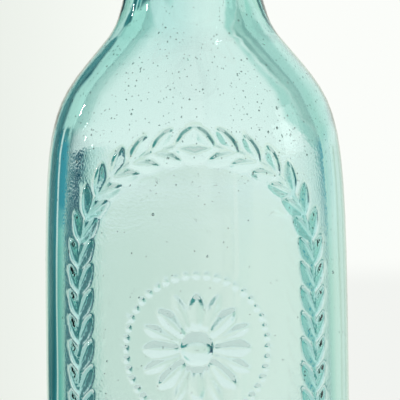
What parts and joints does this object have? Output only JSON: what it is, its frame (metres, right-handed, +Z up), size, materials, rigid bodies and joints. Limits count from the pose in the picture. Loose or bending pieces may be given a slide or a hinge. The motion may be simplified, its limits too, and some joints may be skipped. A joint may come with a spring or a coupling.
{
  "type": "blob top bottle",
  "caption": "Squat blob top bottle in thick glass with a wired swing stopper: tie wire, lever, bail, porcelain head and rubber seal.",
  "frame": {"origin": "centre of the foot, on the surface that the bottle stands on", "axes": "+Z up the bottle's axis to the mouth, -Y to the front, where the lever and the raised panel are"},
  "size_m": [0.066, 0.066, 0.2141],
  "materials": {
    "aqua_glass": "thick mould-blown aqua glass with seeds, whittle marks and a raised front panel",
    "tinned_wire": "tinned wire, dulled, rust in the bends",
    "porcelain": "white glaze with fine crazing",
    "red_rubber": "aged red rubber, matt"
  },
  "bodies": {
    "bottle": {"bottle": "aqua_glass", "neck_tie_wire": "tinned_wire"},
    "lever": {"lever_wire": "tinned_wire"},
    "bail": {"bail_wire": "tinned_wire"},
    "stopper": {"stopper_head": "porcelain", "rubber_seal": "red_rubber"}
  },
  "joints": [
    {"name": "lever_swing", "type": "hinge", "parent": "bottle", "child": "lever", "pos_m": [0, 0, 0.17435], "axis": [-1, 0, 0], "range_deg": [0, 150]},
    {"name": "bail_swing", "type": "hinge", "parent": "lever", "child": "bail", "pos_m": [0, 0.0008, 0.16535], "axis": [1, 0, 0], "range_deg": [0, 118]},
    {"name": "stopper_swing", "type": "hinge", "parent": "bail", "child": "stopper", "pos_m": [0, 0, 0.20625], "axis": [1, 0, 0], "range_deg": [0, 34]}
  ],
  "couplings": [
    {"joint": "bail_swing", "follows": "lever_swing", "ratio": 0.78},
    {"joint": "stopper_swing", "follows": "lever_swing", "ratio": 0.22}
  ]
}
